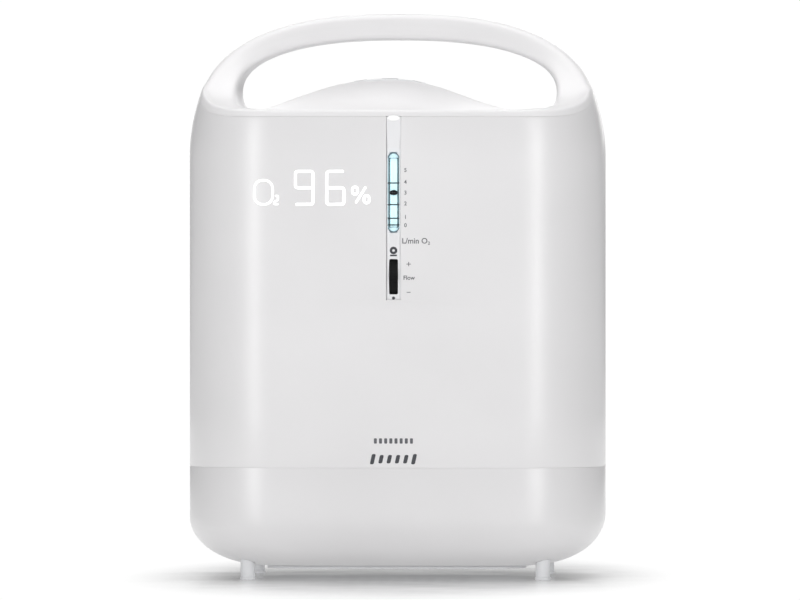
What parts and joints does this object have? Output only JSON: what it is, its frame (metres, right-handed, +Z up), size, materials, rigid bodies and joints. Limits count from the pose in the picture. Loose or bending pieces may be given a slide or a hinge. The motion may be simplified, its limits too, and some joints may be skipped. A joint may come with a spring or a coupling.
{
  "type": "oxygen concentrator",
  "caption": "Upright rounded casing on short feet with an arched carrying handle, a front flow meter strip with thumbwheel, a lit display and a rear humidifier bottle bay.",
  "frame": {"origin": "on the floor under the middle of the casing", "axes": "+Z up, the front with the flow meter faces -Y, +X to the viewer's right"},
  "size_m": [0.365, 0.245, 0.498],
  "materials": {
    "shell": "satin pearl white",
    "cover": "satin bright white",
    "light_trim": "fine matt",
    "panel_gloss": "pale gloss",
    "button_white": "fine matt",
    "circuit_board": "solder mask",
    "bezel": "satin",
    "clear_tube": "clear acrylic, lit cyan",
    "float_black": "gloss",
    "tube_cap": "translucent grey",
    "wheel_black": "ribbed",
    "valve_brass": "turned",
    "diffuser_white": "opal",
    "foam": "open-cell foam",
    "felt": "felt",
    "dark_plastic": "moulded",
    "bottle_clear": "clear blown plastic",
    "cast_alloy": "cast and machined",
    "stator_steel": "laminated",
    "shaft_steel": "ground",
    "rubber": "moulded",
    "coil_alloy": "drawn tube"
  },
  "bodies": {
    "root": {"front_shell": "shell", "rear_shell": "shell", "base_shell": "shell", "handle_cover": "cover", "base_plate": "light_trim", "foot_front_left": "light_trim", "foot_front_right": "light_trim", "foot_rear_left": "light_trim", "foot_rear_right": "light_trim", "control_panel": "panel_gloss", "control_board": "circuit_board", "flow_bezel": "bezel", "flow_tube": "clear_tube", "tube_cap_top": "tube_cap", "tube_cap_bottom": "tube_cap", "valve_body": "valve_brass", "display_diffuser": "diffuser_white", "display_board": "circuit_board", "intake_filter": "felt", "exhaust_grille": "light_trim", "power_inlet": "dark_plastic", "compressor_housing": "cast_alloy", "motor_stator": "stator_steel", "cylinder_left": "cast_alloy", "cylinder_right": "cast_alloy", "head_left": "cast_alloy", "head_right": "cast_alloy", "chassis_tray": "shaft_steel", "acoustic_box": "foam", "rubber_mount_front_left": "rubber", "rubber_mount_front_right": "rubber", "rubber_mount_rear_left": "rubber", "rubber_mount_rear_right": "rubber", "fan_frame": "dark_plastic", "heat_exchanger": "coil_alloy", "sieve_bed_left": "cast_alloy", "sieve_bed_right": "cast_alloy", "oxygen_tank": "cast_alloy", "valve_block": "cast_alloy", "muffler": "dark_plastic", "bottle_bay": "shell"},
    "thumbwheel": {"thumbwheel": "wheel_black"},
    "needle": {"valve_needle": "valve_brass"},
    "float": {"flow_float": "float_black"},
    "power_button": {"power_button": "button_white"},
    "timer_plus": {"timer_plus_button": "button_white"},
    "timer_minus": {"timer_minus_button": "button_white"},
    "filter_door": {"filter_door": "shell", "filter_foam": "foam"},
    "bottle": {"humidifier_bottle": "bottle_clear"},
    "lid": {"bottle_lid": "cover", "diffuser_tube": "light_trim", "outlet_nozzle": "light_trim"},
    "collar": {"bottle_collar": "light_trim"},
    "breaker": {"breaker_button": "dark_plastic"},
    "fan": {"fan_rotor": "dark_plastic"},
    "crank": {"crankshaft": "shaft_steel"},
    "piston_left": {"piston_left": "cast_alloy"},
    "piston_right": {"piston_right": "cast_alloy"},
    "spool": {"valve_spool": "shaft_steel"}
  },
  "joints": [
    {"name": "thumbwheel_turn", "type": "hinge", "parent": "root", "child": "thumbwheel", "pos_m": [0, -0.1021, 0.2668], "axis": [-1, 0, 0], "range_deg": [-324, 216]},
    {"name": "needle_travel", "type": "slide", "parent": "thumbwheel", "child": "needle", "axis": [-1, 0, 0], "range_m": [-0.00075, 0.0005]},
    {"name": "float_rise", "type": "slide", "parent": "root", "child": "float", "axis": [0, 0, 1], "range_m": [-0.0263, 0.0197]},
    {"name": "power_press", "type": "slide", "parent": "root", "child": "power_button", "axis": [0, 0, -1], "range_m": [0, 0.001], "stiffness_N_per_m": 400},
    {"name": "timer_plus_press", "type": "slide", "parent": "root", "child": "timer_plus", "axis": [0, 0, -1], "range_m": [0, 0.001], "stiffness_N_per_m": 400},
    {"name": "timer_minus_press", "type": "slide", "parent": "root", "child": "timer_minus", "axis": [0, 0, -1], "range_m": [0, 0.001], "stiffness_N_per_m": 400},
    {"name": "filter_door_swing", "type": "hinge", "parent": "root", "child": "filter_door", "pos_m": [-0.064, 0.1222, 0.236], "axis": [-1, 0, 0], "range_deg": [0, 80]},
    {"name": "bottle_pull", "type": "slide", "parent": "root", "child": "bottle", "axis": [0, 1, 0], "range_m": [0, 0.12]},
    {"name": "lid_lift", "type": "slide", "parent": "bottle", "child": "lid", "axis": [0, 0, 1], "range_m": [0, 0.00601]},
    {"name": "collar_turn", "type": "hinge", "parent": "lid", "child": "collar", "pos_m": [0.065, 0.075, 0.34], "axis": [0, 0, 1], "range_deg": [0, 540]},
    {"name": "breaker_pop", "type": "slide", "parent": "root", "child": "breaker", "axis": [0, 1, 0], "range_m": [0, 0.003]},
    {"name": "fan_spin", "type": "hinge", "parent": "root", "child": "fan", "pos_m": [0.056, -0.02, 0.2088], "axis": [0, 0, 1], "continuous": true},
    {"name": "crank_spin", "type": "hinge", "parent": "root", "child": "crank", "pos_m": [0, 0, 0.096], "axis": [1, 0, 0], "continuous": true},
    {"name": "piston_left_turn", "type": "hinge", "parent": "crank", "child": "piston_left", "pos_m": [-0.065, 0, 0.1], "axis": [1, 0, 0], "continuous": true},
    {"name": "piston_right_turn", "type": "hinge", "parent": "crank", "child": "piston_right", "pos_m": [0.065, 0, 0.092], "axis": [1, 0, 0], "continuous": true},
    {"name": "spool_shift", "type": "slide", "parent": "root", "child": "spool", "axis": [1, 0, 0], "range_m": [-0.004, 0.004]}
  ],
  "couplings": [
    {"joint": "needle_travel", "follows": "thumbwheel_turn", "m_per_rad": 0.00012732},
    {"joint": "lid_lift", "follows": "collar_turn", "m_per_rad": 0.00063662},
    {"joint": "piston_left_turn", "follows": "crank_spin", "ratio": -1},
    {"joint": "piston_right_turn", "follows": "crank_spin", "ratio": -1}
  ]
}
